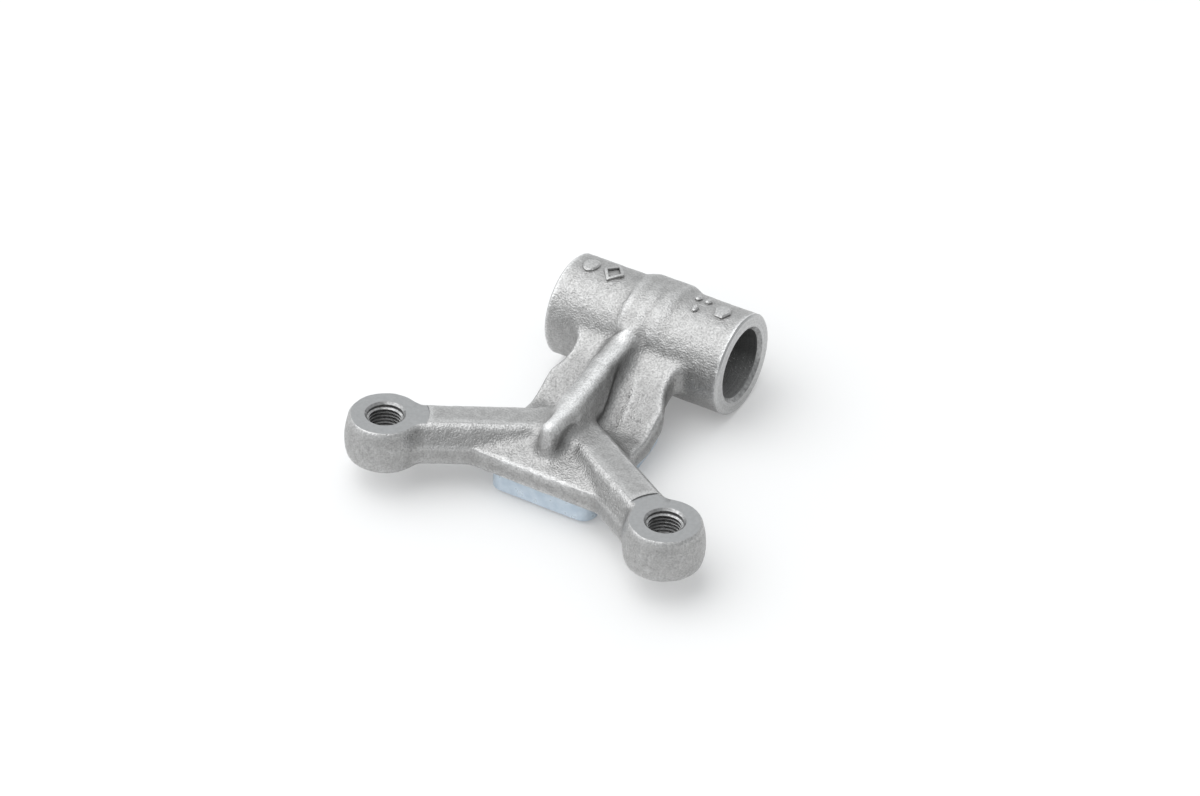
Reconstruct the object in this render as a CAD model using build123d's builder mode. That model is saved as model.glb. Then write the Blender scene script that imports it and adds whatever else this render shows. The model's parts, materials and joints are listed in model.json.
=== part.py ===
from build123d import *
from math import atan2, cos, degrees, radians, sin, tan
import os

# Forked rocker arm: one forging that carries a pivot tube, a plate with a rib, two arms and two threaded
# eyes, and one hard wearing pad seated under the plate. X runs along the pivot tube, Y from the eyes to
# the tube, Z along the eye holes. The origin is the middle of the pivot axis. Lengths in millimetres.

# pivot tube
tube_r = 10.15
tube_length = 38.2
bore_r = 7.0
bore_chamfer = 0.72
tube_end_chamfer = 0.35

# raised band where the rib runs over the tube
band_half = 6.6
band_lift = 0.45
band_crown = 0.2
band_edge_drop = 0.95
band_round = 5.0

# eyes with their screw threads
eye_x = 30.4
eye_y = -48.5
eye_top_z = -2.05
eye_bottom_z = -11.2
eye_top_r = 6.9
eye_waist_r = 7.75
eye_foot_r = 7.45
eye_foot_round = 1.4
eye_blend = 2.0
thread_r = 3.5
thread_chamfer = 0.42
spot_face_r = 8.3

# arms, drafted above the parting line
arm_root_y = -30.25
arm_top_z = -1.75
arm_top_half = 3.2
arm_top_round = 1.9
parting_half = 5.6
parting_z = -5.85
underside_z = -9.9
arm_foot_round = 0.9

# plate between the arms and the tube, with a web that climbs from its front edge to the arms
plate_front_y = -44.9
plate_half = 12.6
plate_front_half = 13.2
plate_waist_y = -38.9
web_slope = 0.33
web_rear_y = -37.5
neck_half = 10.7
bulge_y = -18.4
neck_y = -14.6
ramp_foot_y = -24.5
ramp_slope = 0.586
ramp_foot_round = 5.0
under_ramp_foot_y = -23.5
under_ramp_slope = 0.49
bulge_round = 2.0
neck_round = 3.5

# rib from the tube to the fork of the arms
rib_front_y = -37.5
rib_foot_half = 4.0
rib_draft = 13.0
rib_root = 2.0
rib_rise = 12.0
rib_slope = 0.065
rib_top_round = 1.5
rib_foot_blend = 1.3
tube_blend = 1.9

# slim nose that carries the rib's crest forward and drops to the web
nose_y = -41.3
nose_z = 2.4
nose_half = 2.1
nose_draft = 1.0

# wearing pad
pad_half = 11.1
pad_front_y = -42.8
pad_rear_y = -15.4
pad_front_z = -14.8
pad_middle_y = -24.7
pad_middle_z = -13.0
pad_rear_z = -10.4
pad_corner_round = 2.7
pad_edge_chamfer = 0.35

arm_angle = degrees(atan2(arm_root_y - eye_y, eye_x))
arm_length = (eye_x**2 + (arm_root_y - eye_y) ** 2) ** 0.5


def ramp_z(y):
    return parting_z + ramp_slope * (y - ramp_foot_y)


def under_ramp_z(y):
    return underside_z + under_ramp_slope * (y - under_ramp_foot_y)


def crest_z(y):
    return nose_z + rib_slope * (y - nose_y)


with BuildPart() as plate:
    with BuildSketch(Plane.YZ) as side:
        with BuildLine():
            Polyline(
                (plate_front_y, underside_z),
                (under_ramp_foot_y, underside_z),
                (0, under_ramp_z(0)),
                (0, ramp_z(0)),
                (ramp_foot_y, parting_z),
                (plate_front_y, parting_z),
                close=True,
            )
        make_face()
        fillet(side.vertices().sort_by_distance((ramp_foot_y, parting_z))[0], ramp_foot_round)
    extrude(amount=plate_front_half + plate_half, both=True)
    with BuildSketch() as outline:
        with BuildLine():
            Polyline(
                (0, plate_front_y),
                (plate_front_half, plate_front_y),
                (plate_half, plate_waist_y),
                (plate_half, bulge_y),
                (neck_half, neck_y),
                (neck_half, 0),
                (0, 0),
                close=True,
            )
        make_face()
        fillet(outline.vertices().sort_by_distance((plate_half, bulge_y))[0], bulge_round)
        fillet(outline.vertices().sort_by_distance((neck_half, neck_y))[0], neck_round)
        mirror(about=Plane.YZ)
    extrude(amount=2 * tube_r, both=True, mode=Mode.INTERSECT)

with BuildPart() as web:
    with BuildSketch(Plane.YZ):
        Polygon(
            (plate_front_y, parting_z),
            (web_rear_y, parting_z + web_slope * (web_rear_y - plate_front_y)),
            (web_rear_y, underside_z + arm_foot_round),
            (plate_front_y, underside_z + arm_foot_round),
            align=None,
        )
    extrude(amount=plate_half, both=True)

rib_root_half = rib_foot_half + rib_root * tan(radians(rib_draft))

with BuildPart() as rib:
    with BuildSketch(Plane.XY.offset(parting_z - rib_root)):
        with Locations((0, rib_front_y + rib_foot_half)):
            Circle(rib_root_half)
            Rectangle(2 * rib_root_half, tube_r - rib_front_y - rib_foot_half, align=(Align.CENTER, Align.MIN))
    extrude(amount=rib_rise + rib_root, taper=rib_draft)
    with BuildSketch(Plane.YZ):
        with BuildLine():
            Polyline(
                (rib_front_y - rib_root, parting_z - rib_root),
                (rib_front_y - rib_root, crest_z(rib_front_y - rib_root)),
                (0, crest_z(0)),
                (0, (ramp_z(0) + under_ramp_z(0)) / 2),
                (under_ramp_foot_y, parting_z - rib_root),
                close=True,
            )
        make_face()
    extrude(amount=2 * rib_foot_half, both=True, mode=Mode.INTERSECT)
    ridge = rib.faces().sort_by_distance((0, rib_front_y / 2, crest_z(rib_front_y / 2)))[0]
    fillet(ridge.edges().filter_by(Plane.XZ, reverse=True), rib_top_round)

with BuildPart() as nose:
    with BuildSketch(Plane.XY.offset(parting_z - rib_root)):
        with Locations((0, nose_y + nose_half)):
            Circle(nose_half)
            Rectangle(2 * nose_half, arm_root_y - nose_y - nose_half, align=(Align.CENTER, Align.MIN))
    extrude(amount=rib_rise + rib_root, taper=nose_draft)
    with BuildSketch(Plane.YZ):
        Polygon(
            (nose_y, parting_z - rib_root),
            (nose_y, nose_z),
            (arm_root_y, crest_z(arm_root_y)),
            (arm_root_y, parting_z - rib_root),
            align=None,
        )
    extrude(amount=nose_half, both=True, mode=Mode.INTERSECT)
    ridge = nose.faces().sort_by_distance((0, rib_front_y, crest_z(rib_front_y)))[0]
    fillet(ridge.edges().filter_by(Plane.XZ, reverse=True), rib_top_round)

along_arm = Plane(
    origin=(0, arm_root_y, 0),
    x_dir=(sin(radians(arm_angle)), cos(radians(arm_angle)), 0),
    z_dir=(cos(radians(arm_angle)), -sin(radians(arm_angle)), 0),
)

with BuildPart() as side_arm:
    with BuildSketch(along_arm) as section:
        with BuildLine():
            Polyline(
                (-parting_half, underside_z),
                (-parting_half, parting_z),
                (-arm_top_half, arm_top_z),
                (arm_top_half, arm_top_z),
                (parting_half, parting_z),
                (parting_half, underside_z),
                close=True,
            )
        make_face()
        fillet(section.vertices().group_by(Axis.Y)[-1], arm_top_round)
        fillet(section.vertices().group_by(Axis.Y)[0], arm_foot_round)
    extrude(amount=arm_length)
    with BuildSketch(Plane.XZ.offset(-eye_y)) as barrel:
        with BuildLine():
            Polyline(
                (eye_x, arm_top_z),
                (eye_x + eye_top_r, arm_top_z),
                (eye_x + eye_waist_r, parting_z),
                (eye_x + eye_foot_r, eye_bottom_z),
                (eye_x, eye_bottom_z),
                close=True,
            )
        make_face()
        fillet(barrel.vertices().sort_by_distance((eye_x + eye_foot_r, eye_bottom_z))[0], eye_foot_round)
    revolve(axis=Axis((eye_x, eye_y, 0), (0, 0, 1)))
    fillet(side_arm.edges(Select.NEW), eye_blend)

with BuildPart() as pad:
    with BuildSketch(Plane.YZ):
        with BuildLine():
            Polyline(
                (pad_front_y, pad_front_z),
                (pad_front_y, underside_z),
                (under_ramp_foot_y, underside_z),
                (pad_rear_y, under_ramp_z(pad_rear_y)),
                (pad_rear_y, pad_rear_z),
            )
            ThreePointArc((pad_rear_y, pad_rear_z), (pad_middle_y, pad_middle_z), (pad_front_y, pad_front_z))
        make_face()
    extrude(amount=pad_half, both=True)
    fillet(pad.edges().filter_by(Axis.Z), pad_corner_round)
    chamfer(pad.faces().filter_by(GeomType.CYLINDER).sort_by(SortBy.AREA)[-1].edges(), pad_edge_chamfer)

with BuildPart() as arm:
    add(plate.part)
    add(side_arm.part)
    mirror(side_arm.part, about=Plane.YZ)
    add(rib.part)
    outside_tube = arm.edges(Select.NEW).filter_by(lambda e: e.center().Y < -tube_r * 2 / 3)
    fillet(outside_tube, rib_foot_blend)
    add(web.part)
    add(nose.part)
    with BuildSketch(Plane.YZ.offset(-tube_length / 2)):
        Circle(tube_r)
    extrude(amount=tube_length)
    fillet(arm.edges(Select.NEW), tube_blend)
    with BuildSketch(Plane.XZ.shift_origin((0, 0, band_lift))) as band:
        with BuildLine():
            Polyline(
                (0, tube_r + band_crown),
                (band_half, tube_r - band_edge_drop),
                (band_half, 0),
                (-band_half, 0),
                (-band_half, tube_r - band_edge_drop),
                close=True,
            )
        make_face()
        fillet(band.vertices().group_by(Axis.Y)[-1], band_round)
    revolve(axis=Axis((0, 0, band_lift), (1, 0, 0)))
    with BuildSketch(Plane.YZ.offset(-tube_length / 2)):
        Circle(bore_r)
    extrude(amount=tube_length, mode=Mode.SUBTRACT)
    ends = arm.faces().filter_by(Axis.X).sort_by(SortBy.AREA)[-2:]
    chamfer(ends.edges().group_by(SortBy.RADIUS)[0], bore_chamfer)
    ends = arm.faces().filter_by(Axis.X).sort_by(SortBy.AREA)[-2:]
    chamfer(ends.edges().group_by(SortBy.RADIUS)[-1], tube_end_chamfer)
    with BuildSketch(Plane.XY.offset(eye_top_z)):
        with Locations((-eye_x, eye_y), (eye_x, eye_y)):
            Circle(spot_face_r)
    extrude(amount=arm_top_z - eye_top_z, mode=Mode.SUBTRACT)
    with Locations((-eye_x, eye_y, eye_top_z), (eye_x, eye_y, eye_top_z)):
        Hole(thread_r)
    hole_edges = arm.edges().filter_by(GeomType.CIRCLE).filter_by(lambda e: e.radius == thread_r)
    chamfer(hole_edges, thread_chamfer)

arm.part.label = "arm_forging"
pad.part.label = "cam_pad"
os.makedirs("parts", exist_ok=True)
export_step(arm.part, "parts/arm_forging.step")
export_step(pad.part, "parts/cam_pad.step")
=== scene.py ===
import json
from math import asin, atan2, cos, degrees, exp, hypot, pi, radians, sin

import bmesh
import bpy
from mathutils import Matrix, Vector, noise


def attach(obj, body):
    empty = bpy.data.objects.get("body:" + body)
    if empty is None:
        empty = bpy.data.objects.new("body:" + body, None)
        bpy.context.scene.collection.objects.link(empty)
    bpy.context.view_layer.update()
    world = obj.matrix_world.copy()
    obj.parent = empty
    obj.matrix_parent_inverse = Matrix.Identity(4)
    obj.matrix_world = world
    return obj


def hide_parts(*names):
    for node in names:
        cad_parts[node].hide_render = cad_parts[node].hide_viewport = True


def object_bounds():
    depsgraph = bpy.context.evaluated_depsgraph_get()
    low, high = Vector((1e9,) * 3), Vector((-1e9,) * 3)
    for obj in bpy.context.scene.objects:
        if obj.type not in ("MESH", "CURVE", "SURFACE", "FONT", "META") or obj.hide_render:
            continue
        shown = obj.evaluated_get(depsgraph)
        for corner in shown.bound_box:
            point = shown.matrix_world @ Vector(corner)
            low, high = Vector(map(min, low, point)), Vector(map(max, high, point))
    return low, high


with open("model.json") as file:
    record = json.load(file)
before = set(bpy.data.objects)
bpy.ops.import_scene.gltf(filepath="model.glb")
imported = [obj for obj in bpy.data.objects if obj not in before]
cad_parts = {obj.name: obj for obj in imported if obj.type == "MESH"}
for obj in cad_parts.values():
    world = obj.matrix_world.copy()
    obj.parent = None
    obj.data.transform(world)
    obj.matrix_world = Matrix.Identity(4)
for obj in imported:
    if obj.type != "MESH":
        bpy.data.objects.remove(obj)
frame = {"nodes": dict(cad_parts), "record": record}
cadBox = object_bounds()
print("frame loaded:", ", ".join(sorted(frame["nodes"])))

# Shapes are modelled in millimetres, with X along the pivot tube, and brought to metres at the end.
mm = 0.001
mounts = {mount["name"]: mount for mount in frame["record"]["mounts"]}


def mountPoint(name):
    return Vector(mounts[name]["pos_m"]) / mm


boreRadius = mounts["pivot_bore"]["dims"]["r_mm"]
threadRadius = mounts["right_thread"]["dims"]["r_mm"]
threadLength = mounts["right_thread"]["dims"]["length_mm"]
threadMiddle = mountPoint("right_thread")
eyeTop = mountPoint("right_nut_seat").z
eyeBottom = 2 * threadMiddle.z - eyeTop
tubeEnd = mountPoint("right_tube_end").x


# places and soft masks


def eyeAxis(side):
    # side is -1 for the left eye and 1 for the right one
    return Vector((side * threadMiddle.x, threadMiddle.y, 0))


def fromEye(point):
    return hypot(abs(point.x) - threadMiddle.x, point.y - threadMiddle.y)


def fromTubeAxis(point):
    return hypot(point.y, point.z)


def softStep(value, edge):
    # rises from 0 at the edge's first value to 1 at its second
    low, high = edge
    part = min(max((value - low) / (high - low), 0.0), 1.0)
    return part * part * (3 - 2 * part)


def within(value, rising, falling):
    return softStep(value, rising) * (1 - softStep(value, falling))


def bell(value, middle, width):
    return exp(-((value - middle) / width) ** 2)


def fromTable(value, table):
    # a height read from (place, height) pairs, 0 beyond their ends
    for (low, before), (high, after) in zip(table, table[1:]):
        if low <= value <= high:
            return before + (after - before) * (value - low) / (high - low)
    return 0.0


# meshes


def workObject(name, bm):
    mesh = bpy.data.meshes.new(name)
    bm.to_mesh(mesh)
    bm.free()
    obj = bpy.data.objects.new(name, mesh)
    bpy.context.scene.collection.objects.link(obj)
    return obj


def finishedObject(name, bm):
    bmesh.ops.scale(bm, vec=(mm, mm, mm), verts=bm.verts)
    return workObject(name, bm)


def meshed(obj):
    bm = bmesh.new()
    bm.from_mesh(obj.data)
    return bm


def apply(obj, kind, **settings):
    modifier = obj.modifiers.new(kind, kind)
    for setting, value in settings.items():
        setattr(modifier, setting, value)
    evaluated = obj.evaluated_get(bpy.context.evaluated_depsgraph_get())
    mesh = bpy.data.meshes.new_from_object(evaluated)
    obj.modifiers.clear()
    obj.data = mesh


def cut(obj, tool, operation="DIFFERENCE"):
    apply(obj, "BOOLEAN", operation=operation, object=tool, solver="MANIFOLD")
    bpy.data.objects.remove(tool)


def relax(bm, passes):
    for _ in range(passes):
        bmesh.ops.smooth_vert(
            bm, verts=bm.verts, factor=0.5, use_axis_x=True, use_axis_y=True, use_axis_z=True
        )


alongTube = ((1, 0, 0), (0, 0, 1))  # an axis and a direction away from it
upright = ((0, 0, 1), (1, 0, 0))
weldDistance = 0.0005


def lathe(bm, outline, centre, axes, steps=96, closed=False):
    # outline holds (place along the axis, distance from the axis) pairs
    centre = Vector(centre)
    axis, across = (Vector(direction) for direction in axes)
    verts = [bm.verts.new(centre + axis * place + across * away) for place, away in outline]
    pairs = zip(verts, verts[1:] + verts[:1]) if closed else zip(verts, verts[1:])
    edges = [bm.edges.new(pair) for pair in pairs]
    bmesh.ops.spin(
        bm, geom=verts + edges, cent=centre, axis=axis, angle=2 * pi, steps=steps, use_merge=True
    )
    bmesh.ops.remove_doubles(bm, verts=bm.verts, dist=weldDistance)
    bmesh.ops.recalc_face_normals(bm, faces=bm.faces)


# shader graphs


class Wire:
    # one output socket, with arithmetic
    def __init__(self, graph, socket):
        self.graph = graph
        self.socket = socket

    def __add__(self, other):
        return self.graph.maths("ADD", self, other)

    def __sub__(self, other):
        return self.graph.maths("SUBTRACT", self, other)

    def __rsub__(self, other):
        return self.graph.maths("SUBTRACT", other, self)

    def __mul__(self, other):
        return self.graph.maths("MULTIPLY", self, other)

    __radd__ = __add__
    __rmul__ = __mul__


cloudRange = (0.3, 0.7)  # where nearly all of a noise texture's values lie


class Graph:
    def __init__(self, tree):
        self.tree = tree
        tree.nodes.clear()

    def add(self, kind, settings=None, sockets=None, output=0):
        node = self.tree.nodes.new(kind)
        for name, value in (settings or {}).items():
            setattr(node, name, value)
        for name, value in (sockets or {}).items():
            if isinstance(value, Wire):
                self.tree.links.new(value.socket, node.inputs[name])
            else:
                node.inputs[name].default_value = value
        return Wire(self, node.outputs[output]) if node.outputs else node

    def maths(self, operation, *values):
        return self.add("ShaderNodeMath", {"operation": operation}, dict(enumerate(values)))

    def place(self):
        # object coordinates in millimetres
        point = self.add("ShaderNodeTexCoord", output="Object")
        return self.add("ShaderNodeVectorMath", {"operation": "SCALE"}, {0: point, "Scale": 1 / mm})

    def part(self, point, axis):
        return self.add("ShaderNodeSeparateXYZ", {}, {0: point}, output=axis)

    def length(self, vector):
        return self.add("ShaderNodeVectorMath", {"operation": "LENGTH"}, {0: vector}, output="Value")

    def attribute(self, name):
        return self.add("ShaderNodeAttribute", {"attribute_name": name}, output="Fac")

    def cloud(self, point, size, detail=2.0, roughness=0.5):
        return self.add(
            "ShaderNodeTexNoise",
            {"noise_dimensions": "3D"},
            {"Vector": point, "Scale": 1 / size, "Detail": detail, "Roughness": roughness},
        )

    def between(self, value, low, high):
        # a mask that rises from 0 at low to 1 at high
        return self.add(
            "ShaderNodeMapRange", {"clamp": True}, {"Value": value, "From Min": low, "From Max": high}
        )

    def within(self, value, rising, falling):
        return self.between(value, *rising) * (1 - self.between(value, *falling))

    def blend(self, mask, first, second):
        return self.add(
            "ShaderNodeMix", {"data_type": "RGBA"}, {0: mask, 6: first, 7: second}, output=2
        )

    def shaded(self, tone, factor):
        return self.add(
            "ShaderNodeMix", {"data_type": "RGBA", "blend_type": "MULTIPLY"},
            {0: 1.0, 6: tone, 7: colour(factor)}, output=2,
        )

    def bump(self, height):
        # the height is in millimetres
        return self.add("ShaderNodeBump", {}, {"Strength": 1.0, "Distance": mm, "Height": height})

    def surface(self, **sockets):
        shader = self.add("ShaderNodeBsdfPrincipled", {}, sockets)
        self.add("ShaderNodeOutputMaterial", {}, {"Surface": shader})


def colour(value, warmth=0.0):
    return (value * (1 + warmth), value, value * (1 - warmth), 1.0)


def steelTone(graph, mask, finish):
    warmth = finish.get("warmth", 0.0)
    return graph.blend(mask, colour(finish["dark"], warmth), colour(finish["light"], warmth))


def glossOf(mask, finish):
    # smoothest where the mask is 1
    smooth, rough = finish["roughness"]
    return mask * (smooth - rough) + rough


def newMaterial(name):
    material = bpy.data.materials.new(name)
    material.use_nodes = True
    return material, Graph(material.node_tree)


# materials, with sizes, places and depths in millimetres

flatPaintedLightAndWear = 0.5  # the attribute of painted light and wear on a flat stretch, with 0 in a corner for painted shade and 1 on a crest for a painted highlight and edge wear

blastedSkin = {
    "dark": 0.295,
    "light": 0.44,
    "warmth": 0.008,
    "grain": 0.36,
    "grainDepth": 0.16,
    "mottle": 1.6,
    "mottleShare": 0.25,
    "mottleDepth": 0.1,
    "coinedFlat": 0.85,  # how much of the depth is pressed flat on coined faces
    "roughness": (0.34, 0.50),
    # painted shade in the corners
    "cornerTone": 0.62,
    # painted highlight on crests and worn edges
    "crestTone": 0.8,
    "crestGrain": 0.55,
    "crestMatt": 0.5,
    # painted shade on the plate, left off in a strip beside the rib where the rib's shadow falls
    "plateTone": 0.78,
    "plateFrom": (-31.0, -28.0),  # along Y
    "plateTo": (-15.5, -12.5),
    "brightFrom": (2.2, 2.8),  # along X, beside the rib
    "brightTo": (5.0, 9.0),
}


def makeBlastedSkin(finish):
    # grainy, with painted shade in the corners, a painted highlight on the crests, which are also matt, and
    # painted shade on the plate, left off beside the rib
    material, graph = newMaterial("blastedSkin")
    point = graph.place()
    grit = graph.cloud(point, finish["grain"])
    swell = graph.cloud(point, finish["mottle"])
    grain = graph.between(grit, *cloudRange)
    mottle = graph.between(swell, *cloudRange)
    share = finish["mottleShare"]
    tone = steelTone(graph, grain * (1 - share) + mottle * share, finish)
    # painted shade on the plate, left off in a strip beside the rib to make up for the rib's shadow there
    plate = graph.within(graph.part(point, "Y"), finish["plateFrom"], finish["plateTo"])
    paintedLift = graph.within(graph.part(point, "X"), finish["brightFrom"], finish["brightTo"])
    tone = graph.blend(plate * (1 - paintedLift), tone, graph.shaded(tone, finish["plateTone"]))
    wear = graph.attribute("wear")
    # painted shade in the corners
    corner = 1 - graph.between(wear, 0.0, flatPaintedLightAndWear)
    tone = graph.blend(corner, tone, graph.shaded(tone, finish["cornerTone"]))
    # painted highlight on crests and worn edges
    speckled = grain * finish["crestGrain"] + (1 - finish["crestGrain"])
    crest = graph.between(wear, flatPaintedLightAndWear, 1.0) * speckled
    tone = graph.blend(crest, tone, colour(finish["crestTone"]))
    height = grit * finish["grainDepth"] + swell * finish["mottleDepth"]
    pressed = graph.attribute("coined") * finish["coinedFlat"]
    graph.surface(**{
        "Base Color": tone,
        "Metallic": 1 - crest * finish["crestMatt"],
        "Roughness": glossOf(grain, finish),
        "Normal": graph.bump(height * (1 - pressed)),
    })
    return material


toolMarks = {"ringShare": 0.55, "ringDepth": 0.012, "speckBreak": 0.7, "speckEdge": (0.35, 0.7)}
turnedFace = {
    "dark": 0.42, "light": 0.62, "rings": 0.22, "specks": 0.5, "roughness": (0.3, 0.5), "metallic": 1.0,
}
boreWall = {
    "dark": 0.35, "light": 0.85, "rings": 0.5, "specks": 0.3, "roughness": (0.3, 0.5), "metallic": 0.7,
}
# painted shade that darkens the bore's wall upwards, and painted glints
boreWallPaintedLight = {
    "shade": (-6.9, -1.5),  # along Z
    "shadeTone": 0.34,
    "glints": 0.28,
    "glintEdge": (0.62, 0.68),
    "glintTone": 0.9,
    "glintStrength": 0.9,
    "glintFrom": (-7.0, -5.0),
    "glintTo": (-3.2, -2.2),
}


def paintBoreLight(graph, point, tone, paintedLight):
    # painted shade: the bore's wall is darker above its lowest stretch; painted glints: a band of bright
    # specks
    height = graph.part(point, "Z")
    shade = graph.between(height, *paintedLight["shade"])
    tone = graph.blend(shade, tone, graph.shaded(tone, paintedLight["shadeTone"]))
    glint = graph.between(graph.cloud(point, paintedLight["glints"], detail=1.0), *paintedLight["glintEdge"])
    glint = glint * graph.within(height, paintedLight["glintFrom"], paintedLight["glintTo"]) * paintedLight["glintStrength"]
    return graph.blend(glint, tone, colour(paintedLight["glintTone"]))


def makeTurnedSteel(name, finish, paintedLight=None):
    # tool marks run round the tube's axis
    material, graph = newMaterial(name)
    point = graph.place()
    flat = graph.add("ShaderNodeVectorMath", {"operation": "MULTIPLY"}, {0: point, 1: (0, 1, 1)})
    sockets = {"X": graph.length(flat), "Y": graph.part(point, "X")}
    rings = graph.add("ShaderNodeCombineXYZ", {}, sockets)
    ring = graph.between(graph.cloud(rings, finish["rings"]), *cloudRange)
    specks = graph.cloud(point, finish["specks"], detail=3.0, roughness=toolMarks["speckBreak"])
    speck = graph.between(specks, *toolMarks["speckEdge"])
    share = toolMarks["ringShare"]
    tone = steelTone(graph, ring * share + speck * (1 - share), finish)
    # painted shade and painted glints on the bore's wall
    if paintedLight:
        tone = paintBoreLight(graph, point, tone, paintedLight)
    graph.surface(**{
        "Base Color": tone,
        "Metallic": finish["metallic"],
        "Roughness": glossOf(speck, finish),
        "Normal": graph.bump(ring * toolMarks["ringDepth"]),
    })
    return material


machinedSteel = {"dark": 0.335, "light": 0.375, "warmth": -0.008, "streaks": 0.6, "roughness": (0.28, 0.4)}
threadSteel = {"dark": 0.24, "light": 0.44, "streaks": 0.6, "roughness": (0.3, 0.45)}


def makeMachinedSteel(name, finish):
    material, graph = newMaterial(name)
    streak = graph.between(graph.cloud(graph.place(), finish["streaks"], detail=3.0), *cloudRange)
    graph.surface(**{
        "Base Color": steelTone(graph, streak, finish),
        "Metallic": 1.0,
        "Roughness": glossOf(streak, finish),
    })
    return material


padFacing = {
    "dark": (0.50, 0.59, 0.68), "light": (0.62, 0.70, 0.78), "clouds": 1.8, "roughness": (0.25, 0.4),
    "metallic": 0.3,
}


def makePadFacing(finish):
    material, graph = newMaterial("padFacing")
    cloud = graph.between(graph.cloud(graph.place(), finish["clouds"], detail=3.0), *cloudRange)
    graph.surface(**{
        "Base Color": graph.blend(cloud, (*finish["dark"], 1.0), (*finish["light"], 1.0)),
        "Metallic": finish["metallic"],
        "Roughness": glossOf(cloud, finish),
    })
    return material


finishes = {  # in the order of the forging's material slots
    "skin": makeBlastedSkin(blastedSkin),
    "flat": makeMachinedSteel("machinedSteel", machinedSteel),
    "end": makeTurnedSteel("turnedFace", turnedFace),
    "bore": makeTurnedSteel("boreWall", boreWall, boreWallPaintedLight),
    "thread": makeMachinedSteel("threadSteel", threadSteel),
}
slots = {name: number for number, name in enumerate(finishes)}
padMaterial = makePadFacing(padFacing)
print("materials made")


# the forging: a welded copy of the solid, blended, shaped, roughened and marked, and then machined

forging = {
    "tubeRadius": 10.15,
    "spareLength": 1.6,  # of the tube, which the end faces take off
    "eyeSide": [  # height and radius
        (-11.2, 6.4), (-11.0, 6.8), (-10.65, 7.15), (-10.1, 7.4), (-9.2, 7.58), (-8.0, 7.68), (-6.5, 7.7),
        (-5.0, 7.58), (-3.9, 7.36), (-3.1, 7.1), (-2.5, 6.8), (-2.05, 6.5), (-1.6, 6.0), (-1.1, 5.2),
    ],
    "eyeTuck": (7.4, 7.9),  # the solid's eye side between these radii goes in to the first
    "coarse": 0.32,  # mesh sizes
    "fine": 0.312,
    "blendRadius": 1.7,
    "softening": 5,  # smoothing passes before and after the shaping
    "settling": 2,
    "waviness": 0.07,
    "waveSize": 3.2,
    "ripple": 0.03,
    "rippleSize": 1.3,
    "falloff": 1.0,  # of both noises from one octave to the next
    "lacunarity": 2.0,
    "octaves": 2,
    "backMargin": 0.01,  # between the skin and the back of the solid's box
    "weld": 0.001,
    "shortest": 0.002,  # edges under this are dissolved after the machining
    "sharpAngle": 32,
}


def makeBlank():
    # the solid with a longer tube and barrel-shaped eyes
    bm = bmesh.new()
    bm.from_mesh(frame["nodes"]["arm_forging"].data)
    bmesh.ops.scale(bm, vec=(1 / mm,) * 3, verts=bm.verts)
    bmesh.ops.remove_doubles(bm, verts=bm.verts, dist=forging["weld"])
    inner, outer = forging["eyeTuck"]
    for vert in bm.verts:
        middle = eyeAxis(1 if vert.co.x > 0 else -1)
        middle.z = vert.co.z
        away = vert.co - middle
        if inner < away.length < outer:
            vert.co = middle + away.normalized() * inner
    end, radius = tubeEnd + forging["spareLength"], forging["tubeRadius"]
    lathe(bm, [(-end, 0), (-end, radius), (end, radius), (end, 0)], (0, 0, 0), alongTube)
    side = forging["eyeSide"]
    barrel = [(side[0][0], 0)] + side + [(side[-1][0], 0)]
    for sign in (-1, 1):
        lathe(bm, barrel, eyeAxis(sign), upright)
    return workObject("blank", bm)


def grow(obj, distance):
    bm = meshed(obj)
    bm.normal_update()
    for vert in bm.verts:
        vert.co += vert.normal * distance
    bm.to_mesh(obj.data)
    bm.free()


def blend(obj):
    # concave corners are filled to the blend radius, as a forging die leaves them
    for distance in (forging["blendRadius"], -forging["blendRadius"]):
        apply(obj, "REMESH", mode="VOXEL", voxel_size=forging["coarse"])
        grow(obj, distance)


band = {
    "heights": [  # degrees from the top to the front, and how far the band stands up there
        (-95, 0.0), (-70, 0.45), (-42, 0.95), (-12, 0.55), (10, 0.45), (35, 0.38), (55, 0.25), (68, 0.0),
    ],
    "reach": 8,
    "shell": (9.6, 11.6),  # radii of the skin that it moves
    "leftEdge": (-4.6, -3.5),
    "backEdge": (-6.0, -3.0),  # the left edge behind the top
    "backTo": (0, 25),  # degrees
    "rightEdge": (3.6, 6.6),
    "valley": (1.5, 0.85),  # middle and width
    "valleyDepth": 0.3,
    "valleyFrom": (-15, 10),  # degrees
    "groove": (-4.7, 0.6),
    "grooveDepth": 0.06,
    "grooveFrom": (-5, 12),  # degrees
    "grooveTo": (62, 75),
    "highest": 10.68,  # above the tube's axis
}


def raiseBand(vert):
    # the band over the tube has a crisp left edge, a soft right one and a shallow valley between two swells
    x, y, z = vert.co
    radius = hypot(y, z)
    inner, outer = band["shell"]
    if abs(x) > band["reach"] or not inner < radius < outer:
        return
    turn = degrees(atan2(-y, z))
    height = fromTable(turn, band["heights"])
    if height == 0:
        return
    front = softStep(turn, band["backTo"])
    left = softStep(x, band["leftEdge"]) * front + softStep(x, band["backEdge"]) * (1 - front)
    swell = left * (1 - softStep(x, band["rightEdge"]))
    swell -= band["valleyDepth"] * bell(x, *band["valley"]) * softStep(turn, band["valleyFrom"])
    raised = max(radius, forging["tubeRadius"] + height * swell)
    grooved = bell(x, *band["groove"]) * within(turn, band["grooveFrom"], band["grooveTo"])
    raised -= band["grooveDepth"] * grooved
    if z > 0:
        raised = min(raised, band["highest"] * radius / z)
    vert.co.y *= raised / radius
    vert.co.z *= raised / radius


plate = {"height": -5.85, "rampFoot": -24.5, "rampSlope": 0.586}

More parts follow.
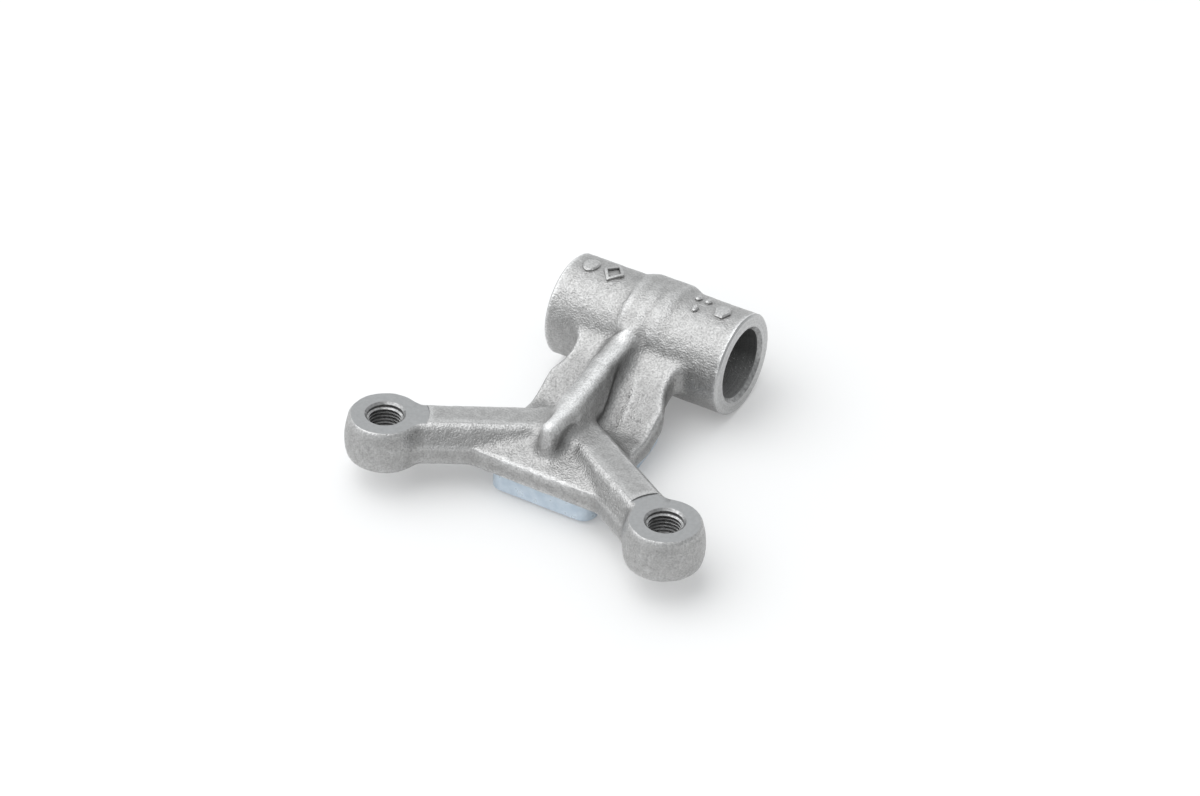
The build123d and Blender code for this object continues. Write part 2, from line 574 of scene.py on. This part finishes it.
rib = {
    "frontY": -41.3,
    "frontZ": 2.4,
    "slope": 0.065,
    "half": 2.1,
    "ceiling": 6.5,
    "crown": 0.55,  # how far the crest's sides drop
    "crownFrom": -41.6,
    "crownTo": (-16, -11),
    "crownHalf": 2.9,
    "crownUp": (-2.2, -0.6),  # from the crest
    "crestLine": [  # place along Y and how far the crest stands to the right there
        (-42, 0.1), (-38, 0.45), (-33, 0.5), (-28, 0.15), (-23, -0.15), (-18, -0.75), (-10.5, -0.8),
        (-8.5, 0.0),
    ],
    "leanUp": (-4.0, 2.0),
    "leanOut": (4.0, 6.0),
    "leftSpare": 1.2,  # how far the left flank spreads
    "spareFrom": (-37, -31),
    "spareTo": (-11, -8.5),
    "spareUp": (-8, -7),
    "spareIn": (-0.8, 2.2),
    "spareOut": (4.5, 8.5),
    "rightTuck": 1.3,  # how far the foot of the right flank goes in
    "tuckFrom": (-33, -27),
    "tuckTo": (-20, -13),
    "tuckUp": (1.0, 4.5),  # from the plate
    "tuckOut": (5.5, 10),
    "tuckInside": 1,
    "tuckLowest": -1.5,
    "saddle": (-1.2, -9.7, 4.9),
    "saddleSize": 1.8,
    "saddleReach": 4.5,
    "saddlePush": 0.95,
}


def crestHeight(y):
    return rib["frontZ"] + rib["slope"] * (y - rib["frontY"])


def plateHeight(y):
    return plate["height"] + max(0.0, plate["rampSlope"] * (y - plate["rampFoot"]))


def crownRib(vert):
    # the flat crest of the solid's rib is rounded over
    x, y, z = vert.co
    if y > rib["crownFrom"] and abs(x) < rib["crownHalf"]:
        drop = rib["crown"] * min((x / rib["half"]) ** 2, 1.0)
        fade = softStep(z - crestHeight(y), rib["crownUp"]) * (1 - softStep(y, rib["crownTo"]))
        vert.co.z -= drop * fade


def bendRib(vert):
    # towards the tube the crest bends to the left, with a soft left flank, a steep right one and a saddle
    x, y, z = vert.co
    if z < rib["ceiling"]:
        lean = softStep(z, rib["leanUp"]) * (1 - softStep(abs(x), rib["leanOut"]))
        vert.co.x += fromTable(y, rib["crestLine"]) * lean
        spare = within(y, rib["spareFrom"], rib["spareTo"]) * softStep(z, rib["spareUp"])
        vert.co.x -= rib["leftSpare"] * spare * within(-x, rib["spareIn"], rib["spareOut"])
    rise = z - plateHeight(y)
    if x > rib["tuckInside"] and rise > rib["tuckLowest"]:
        tuck = within(y, rib["tuckFrom"], rib["tuckTo"]) * (1 - softStep(rise, rib["tuckUp"]))
        vert.co.x -= rib["rightTuck"] * tuck * (1 - softStep(x, rib["tuckOut"]))
    away = (vert.co - Vector(rib["saddle"])).length
    if away < rib["saddleReach"]:
        vert.co += vert.normal * rib["saddlePush"] * bell(away, 0, rib["saddleSize"])


parting = {
    "width": 0.26,
    "flash": 0.1,
    # painted highlight along the flash
    "wear": 0.35,
    "inside": 8,
    "rearEdge": (-31, -29),
    "eyeEdge": (8.0, 9.5),  # from the eye's axis
    "flattest": 0.8,  # the normal's Z past which a face has no flash
}


def onParting(point, normal):
    # 1 on the line where the two halves of the die met, along the arms
    if abs(point.x) < parting["inside"] or abs(normal.z) >= parting["flattest"]:
        return 0
    near = bell(point.z, plate["height"], parting["width"])
    return near * (1 - softStep(point.y, parting["rearEdge"])) * softStep(fromEye(point), parting["eyeEdge"])


crease = {
    "height": 0.12,
    "width": 0.6,
    "line": [(-24.2, 6.3), (-19.25, 5.7), (-14.6, 4.3), (-13.4, 4.0)],  # along Y and across X
    "from": (-24.2, -22),
    "to": (-15.5, -13.4),
    "lowest": -6.5,
}


def addCrease(vert):
    # a low ridge on the ramp, right of the rib
    x, y, z = vert.co
    if z > crease["lowest"]:
        near = bell(x, fromTable(y, crease["line"]), crease["width"])
        vert.co.z += crease["height"] * near * within(y, crease["from"], crease["to"])


pits = {
    "depth": 0.24,
    "places": [(4.62, -18.22, 0.24), (8.96, -21.69, 0.24), (6.8, -19.27, 0.22)],  # x, y and radius
    "reach": 2.5,  # in radii
    "lowest": -6,
}


def addPits(vert):
    # small round dents in the ramp
    for x, y, radius in pits["places"]:
        away = hypot(vert.co.x - x, vert.co.y - y)
        if away < pits["reach"] * radius and vert.co.z > pits["lowest"]:
            vert.co.z -= pits["depth"] * bell(away, 0, radius)


def unevenness(point):
    # long waves and short ripples
    kind = forging["falloff"], forging["lacunarity"], forging["octaves"]
    wave = noise.fractal(point / forging["waveSize"], *kind)
    ripple = noise.fractal(point / forging["rippleSize"], *kind)
    return wave * forging["waviness"] + ripple * forging["ripple"]


def shape(obj):
    apply(obj, "REMESH", mode="VOXEL", voxel_size=forging["fine"])
    bm = meshed(obj)
    relax(bm, forging["softening"])
    bm.normal_update()
    for vert in bm.verts:
        raiseBand(vert)
        crownRib(vert)
        bendRib(vert)
    relax(bm, forging["settling"])
    bm.normal_update()
    backLimit = cadBox[1][1] / mm - forging["backMargin"]
    for vert in bm.verts:
        vert.co += vert.normal * unevenness(vert.co)
        vert.co.y = min(vert.co.y, backLimit)
        vert.co += vert.normal * parting["flash"] * onParting(vert.co, vert.normal)
        addCrease(vert)
        addPits(vert)
    bm.to_mesh(obj.data)
    bm.free()


castMarks = {
    "height": 0.5,
    "sink": 0.6,
    "stroke": 0.95,
    "shoulder": 0.28,
    "ease": 0.3,  # share of the shoulder where it rounds over
    "middle": -0.2,
    "stretch": 1.25,
    "longest": 1.0,  # edges past this are split to follow the tube
    "cuts": 3,
    "frame": (-9.9, 0.0, 1.85, 4),  # x, y, radius and sides
    "blocks": [
        (-14.9, 0.0, 1.6, 24), (7.9, 1.35, 0.7, 16), (10.1, 1.35, 0.7, 16), (9.0, -1.35, 0.7, 16),
        (14.1, 0.0, 1.75, 6),
    ],
}


def onTube(point):
    # a flat mark's point bent round the tube
    around = castMarks["middle"] - point.y * castMarks["stretch"]
    angle = around / forging["tubeRadius"]
    return Vector((point.x, -point.z * sin(angle), point.z * cos(angle)))


def markTool():
    # the raised marks: a diamond frame, discs and a hexagon with rounded shoulders, sunk into the tube
    bm = bmesh.new()
    low = forging["tubeRadius"] - castMarks["sink"]
    high = forging["tubeRadius"] + castMarks["height"]
    half, shoulder = castMarks["stroke"] / 2, castMarks["shoulder"]
    ease = shoulder * castMarks["ease"]
    x, y, radius, sides = castMarks["frame"]
    slope = [(low, half), (high - shoulder, half), (high - ease, half - ease), (high, half - shoulder)]
    outline = [(up, radius - away) for up, away in slope]
    outline += [(up, radius + away) for up, away in reversed(slope)]
    lathe(bm, outline, (x, y, 0), upright, sides, closed=True)
    for x, y, radius, sides in castMarks["blocks"]:
        outline = [(low, 0), (low, radius), (high - shoulder, radius), (high, radius - shoulder), (high, 0)]
        lathe(bm, outline, (x, y, 0), upright, sides)
    longEdges = [edge for edge in bm.edges if edge.calc_length() > castMarks["longest"]]
    bmesh.ops.subdivide_edges(bm, edges=longEdges, cuts=castMarks["cuts"], use_grid_fill=True)
    bmesh.ops.triangulate(bm, faces=bm.faces)
    for vert in bm.verts:
        vert.co = onTube(vert.co)
    return workObject("markTool", bm)


turning = {
    "boreChamfer": 0.72,
    "endChamfer": 0.35,
    "threadChamfer": 0.42,
    "spotRadius": 8.3,
    "spotDepth": 0.3,
    "reach": 3.0,  # of the tools past the metal
    "overlap": 0.2,
    "tubeSteps": 128,
}


def tubeTool():
    # everything that the lathe takes off the tube: bore, end faces and their chamfers
    bm = bmesh.new()
    radius, reach = forging["tubeRadius"], turning["reach"]
    chamferEnd = tubeEnd - turning["endChamfer"] - turning["overlap"]
    half = [
        (tubeEnd - turning["boreChamfer"], boreRadius),
        (tubeEnd, boreRadius + turning["boreChamfer"]),
        (tubeEnd, radius - turning["endChamfer"]),
        (chamferEnd, radius + turning["overlap"]),
        (chamferEnd, radius + reach),
        (tubeEnd + reach, radius + reach),
        (tubeEnd + reach, 0),
    ]
    outline = [(-place, away) for place, away in reversed(half)] + half
    lathe(bm, outline, (0, 0, 0), alongTube, turning["tubeSteps"])
    return workObject("tubeTool", bm)


def eyeTool(side):
    # the hole with its chamfers, and the spot facing above it
    bm = bmesh.new()
    chamfer, reach = turning["threadChamfer"], turning["reach"]
    wide = threadRadius + chamfer
    outline = [
        (eyeBottom - reach, 0),
        (eyeBottom - reach, wide),
        (eyeBottom, wide),
        (eyeBottom + chamfer, threadRadius),
        (eyeTop - chamfer, threadRadius),
        (eyeTop, wide),
        (eyeTop, turning["spotRadius"]),
        (eyeTop + reach, turning["spotRadius"]),
        (eyeTop + reach, 0),
    ]
    lathe(bm, outline, eyeAxis(side), upright)
    return workObject("eyeTool", bm)


thread = {"pitch": 0.75, "depth": 0.41, "crest": 0.19, "root": 0.64, "embed": 0.08, "stepsPerTurn": 48}


def threadRidge(side):
    # one turn after another of the internal thread's ridge, rooted in the wall of the hole
    bm = bmesh.new()
    eye = eyeAxis(side)
    turns = int((threadLength - thread["root"]) / thread["pitch"])
    start = threadMiddle.z - turns * thread["pitch"] / 2
    deep, tip = threadRadius + thread["embed"], threadRadius - thread["depth"]
    root, crest = thread["root"] / 2, thread["crest"] / 2
    section = [(deep, -root), (tip, -crest), (tip, crest), (deep, root)]
    verts = [bm.verts.new(eye + Vector((away, 0, start + up))) for away, up in section]
    edges = [bm.edges.new(pair) for pair in zip(verts, verts[1:] + verts[:1])]
    steps = turns * thread["stepsPerTurn"]
    rise = Vector((0, 0, thread["pitch"] / thread["stepsPerTurn"]))
    bmesh.ops.spin(
        bm, geom=verts + edges, cent=eye, axis=(0, 0, 1), dvec=rise, angle=2 * pi * turns, steps=steps
    )
    ends = [edge for edge in bm.edges if edge.is_boundary]
    bmesh.ops.holes_fill(bm, edges=ends, sides=4)
    bmesh.ops.recalc_face_normals(bm, faces=bm.faces)
    return workObject("threadRidge", bm)


slack = {"tube": 0.05, "end": 0.02, "eye": 0.02, "top": 0.01}  # in telling the machined faces apart


def finishOf(point):
    # the name of a face's finish, told from the face's middle
    away, inward = fromTubeAxis(point), tubeEnd - abs(point.x)
    chamfer = turning["boreChamfer"]
    if away < boreRadius + slack["tube"]:
        return "bore"
    if away < boreRadius + chamfer + slack["tube"] and slack["end"] < inward < chamfer + slack["end"]:
        return "thread"
    if away < forging["tubeRadius"] + slack["tube"] and inward < turning["endChamfer"] + slack["end"]:
        return "end"
    away, rim = fromEye(point), threadRadius + turning["threadChamfer"]
    if rim < away < turning["spotRadius"] + slack["eye"] and point.z > eyeTop - slack["top"]:
        return "flat"
    return "thread" if away < rim + slack["eye"] else "skin"


# the attribute of painted light and wear: painted shade in corners, painted highlights on crests and worn
# edges, the rib's crest, the burr and the flash, kept lower on the marks
shadeSheenAndWear = {
    "passes": 18,
    "depth": 0.22,
    "crest": 0.3,
    "crestSpan": (-41.8, -9.5),
    "crestDrop": 0.9,
    "crestWidth": 1.35,
    "burr": 1.0,
    "burrWidth": 0.45,
    "burrUp": 0.12,
    "markFrom": 7,
    "markUp": 0.2,
    "markLimit": 0.66,
}
coining = {"facing": (0.93, 0.99), "offTop": (0.15, 0.4), "fromMiddle": (6, 11)}


def onCrest(point):
    # 1 on the middle of the rib's crest
    front, rear = shadeSheenAndWear["crestSpan"]
    if not front < point.y < rear or point.z < crestHeight(point.y) - shadeSheenAndWear["crestDrop"]:
        return 0
    return bell(point.x, fromTable(point.y, rib["crestLine"]), shadeSheenAndWear["crestWidth"])


def onBurr(point):
    # 1 on the thin burr that the spot facing leaves on the arm
    if point.z < eyeTop + shadeSheenAndWear["burrUp"]:
        return 0
    return bell(fromEye(point), turning["spotRadius"], shadeSheenAndWear["burrWidth"])


def onMark(point):
    high = forging["tubeRadius"] + shadeSheenAndWear["markUp"]
    return fromTubeAxis(point) > high and abs(point.x) > shadeSheenAndWear["markFrom"]


def onCoined(point, normal):
    # 1 on the arms' flat tops
    offTop = abs(point.z - eyeTop - turning["spotDepth"])
    level = softStep(normal.z, coining["facing"]) * (1 - softStep(offTop, coining["offTop"]))
    return level * softStep(abs(point.x), coining["fromMiddle"])


def addPaintedLightAndWear(bm):
    # painted highlights on crests and worn edges and painted shade in corners, from how far each point would
    # sink or rise under smoothing
    places = [vert.co.copy() for vert in bm.verts]
    bm.normal_update()
    facing = [vert.normal.copy() for vert in bm.verts]
    relax(bm, shadeSheenAndWear["passes"])
    wear = bm.verts.layers.float.new("wear")
    coined = bm.verts.layers.float.new("coined")
    for vert, place, normal in zip(bm.verts, places, facing):
        sunk = (place - vert.co).dot(normal)
        litAndWorn = flatPaintedLightAndWear + flatPaintedLightAndWear * sunk / shadeSheenAndWear["depth"]
        # painted highlights on the rib's crest and on the burr, and along the flash below
        litAndWorn += onCrest(place) * shadeSheenAndWear["crest"] + onBurr(place) * shadeSheenAndWear["burr"]
        litAndWorn += onParting(place, normal) * parting["wear"]
        vert[wear] = min(max(litAndWorn, 0.0), shadeSheenAndWear["markLimit"] if onMark(place) else 1.0)
        vert[coined] = onCoined(place, normal)
        vert.co = place
    bm.normal_update()


def makeForging():
    obj = makeBlank()
    blend(obj)
    shape(obj)
    print("forging blended and roughened:", len(obj.data.polygons), "faces")
    cut(obj, markTool(), "UNION")
    cut(obj, tubeTool())
    for side in (-1, 1):
        cut(obj, eyeTool(side))
        cut(obj, threadRidge(side), "UNION")
    print("forging machined:", len(obj.data.polygons), "faces")
    bm = meshed(obj)
    bpy.data.objects.remove(obj)
    bmesh.ops.dissolve_degenerate(bm, edges=bm.edges, dist=forging["shortest"])
    addPaintedLightAndWear(bm)
    for face in bm.faces:
        face.material_index = slots[finishOf(face.calc_center_median())]
        face.smooth = True
    for edge in bm.edges:
        sharp = len(edge.link_faces) == 2 and edge.calc_face_angle(0) > radians(forging["sharpAngle"])
        edge.smooth = not sharp
    finished = finishedObject("forged_arm", bm)
    for material in finishes.values():
        finished.data.materials.append(material)
    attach(finished, "root")
    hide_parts("arm_forging")


makeForging()

pad = frame["nodes"]["cam_pad"]
pad.data.materials.clear()
pad.data.materials.append(padMaterial)
print("pieces made")


# stage, lamp and camera

stage = {
    "floorHalf": 3.0,
    "floorGrey": 0.82,
    "floorWhite": (1.0, 0.5),  # near and far
    "floorFade": (280, 900),
    "floorGlow": 0.22,
    "horizon": 0.52,
    "horizonRise": (0.0, 0.35),
    "worldSides": (1.12, 0.6),  # left and right
    "worldTurn": (-0.1, 0.6),
    "worldTint": (0.97, 0.99, 1.0),
}


def seenRays(graph):
    # rays that show the background: from the camera, off metal and through glass
    names = ("Is Camera Ray", "Is Glossy Ray", "Is Transmission Ray")
    rays = [graph.add("ShaderNodeLightPath", output=name) for name in names]
    return graph.maths("MAXIMUM", graph.maths("MAXIMUM", rays[0], rays[1]), rays[2])


def restingPlane():
    # the tilt of the plane that touches the tube and the pad's curved face from below, and where it touches
    radius = forging["tubeRadius"] + forging["waviness"] + forging["ripple"]
    tilts = []
    for vert in pad.data.vertices:
        place = (pad.matrix_world @ vert.co) / mm
        tilt = atan2(-place.z, -place.y) - asin(radius / fromTubeAxis(place))
        tilts.append((tilt, place.y, place.z))
    return max(tilts)


def makeFloor():
    tilt, touchY, touchZ = restingPlane()
    print("floor tilted by", round(degrees(tilt), 2), "degrees, touching the pad at", round(touchY, 1))
    bm = bmesh.new()
    bmesh.ops.create_grid(bm, x_segments=1, y_segments=1, size=stage["floorHalf"] / mm)
    bmesh.ops.rotate(bm, cent=(0, 0, 0), matrix=Matrix.Rotation(tilt, 3, "X"), verts=bm.verts)
    bmesh.ops.translate(bm, vec=(0, touchY, touchZ), verts=bm.verts)
    floor = finishedObject("floor", bm)
    material, graph = newMaterial("floor")
    near, far = stage["floorWhite"]
    away = graph.length(graph.place())
    level = graph.between(away, *stage["floorFade"]) * (far - near) + near
    white = graph.add("ShaderNodeEmission", {}, {"Color": (1, 1, 1, 1), "Strength": level})
    paper = graph.add("ShaderNodeBsdfDiffuse", {}, {"Color": colour(stage["floorGrey"])})
    glow = seenRays(graph) * stage["floorGlow"]
    mixed = graph.add("ShaderNodeMixShader", {}, {0: glow, 1: paper, 2: white})
    graph.add("ShaderNodeOutputMaterial", {}, {"Surface": mixed})
    floor.data.materials.append(material)


def makeWorld():
    # brighter on the left, and dimmer towards the horizon
    world = bpy.data.worlds.new("studio")
    bpy.context.scene.world = world
    world.use_nodes = True
    graph = Graph(world.node_tree)
    heading = graph.add("ShaderNodeTexCoord", output="Generated")
    left, right = stage["worldSides"]
    level = graph.between(graph.part(heading, "X"), *stage["worldTurn"]) * (right - left) + left
    risen = graph.between(graph.part(heading, "Z"), *stage["horizonRise"])
    level = level * (risen * (1 - stage["horizon"]) + stage["horizon"])
    room = graph.add("ShaderNodeBackground", {}, {"Color": (*stage["worldTint"], 1), "Strength": level})
    graph.add("ShaderNodeOutputWorld", {}, {"Surface": room})


keyLamp = {"from": (-0.36, -0.27, 0.78), "to": (0.0, -0.02, -0.005), "size": 1.1, "power": 5.1}


def makeKeyLamp():
    light = bpy.data.lights.new("key", "AREA")
    light.shape = "SQUARE"
    light.size = keyLamp["size"]
    light.energy = keyLamp["power"]
    obj = bpy.data.objects.new("key", light)
    obj.location = keyLamp["from"]
    beam = Vector(keyLamp["to"]) - obj.location
    obj.rotation_euler = beam.to_track_quat("-Z", "Y").to_euler()
    bpy.context.scene.collection.objects.link(obj)


view = {
    "azimuth": 29.58,
    "elevation": 35.22,
    "roll": 2.32,
    "distance": 877.1,
    "across": -10.77,
    "up": -12.40,
    "lens": 136.88,
    "sensor": 36.0,
    "clip": (0.05, 20.0),
}


def makeCamera():
    azimuth, elevation, roll = (radians(view[name]) for name in ("azimuth", "elevation", "roll"))
    back = Vector((sin(azimuth) * cos(elevation), -cos(azimuth) * cos(elevation), sin(elevation)))
    level = Vector((cos(azimuth), sin(azimuth), 0))
    upwards = back.cross(level)
    right = level * cos(roll) + upwards * sin(roll)
    up = upwards * cos(roll) - level * sin(roll)
    data = bpy.data.cameras.new("camera")
    data.sensor_width = view["sensor"]
    data.lens = view["lens"]
    data.clip_start, data.clip_end = view["clip"]
    camera = bpy.data.objects.new("camera", data)
    turn = Matrix((right, up, back)).transposed().to_4x4()
    place = (right * view["across"] + up * view["up"] + back * view["distance"]) * mm
    camera.matrix_world = Matrix.Translation(place) @ turn
    bpy.context.scene.collection.objects.link(camera)
    bpy.context.scene.camera = camera


makeFloor()
makeWorld()
makeKeyLamp()
makeCamera()
bpy.context.scene.view_settings.view_transform = "Standard"
print("stage, lamps and camera set")
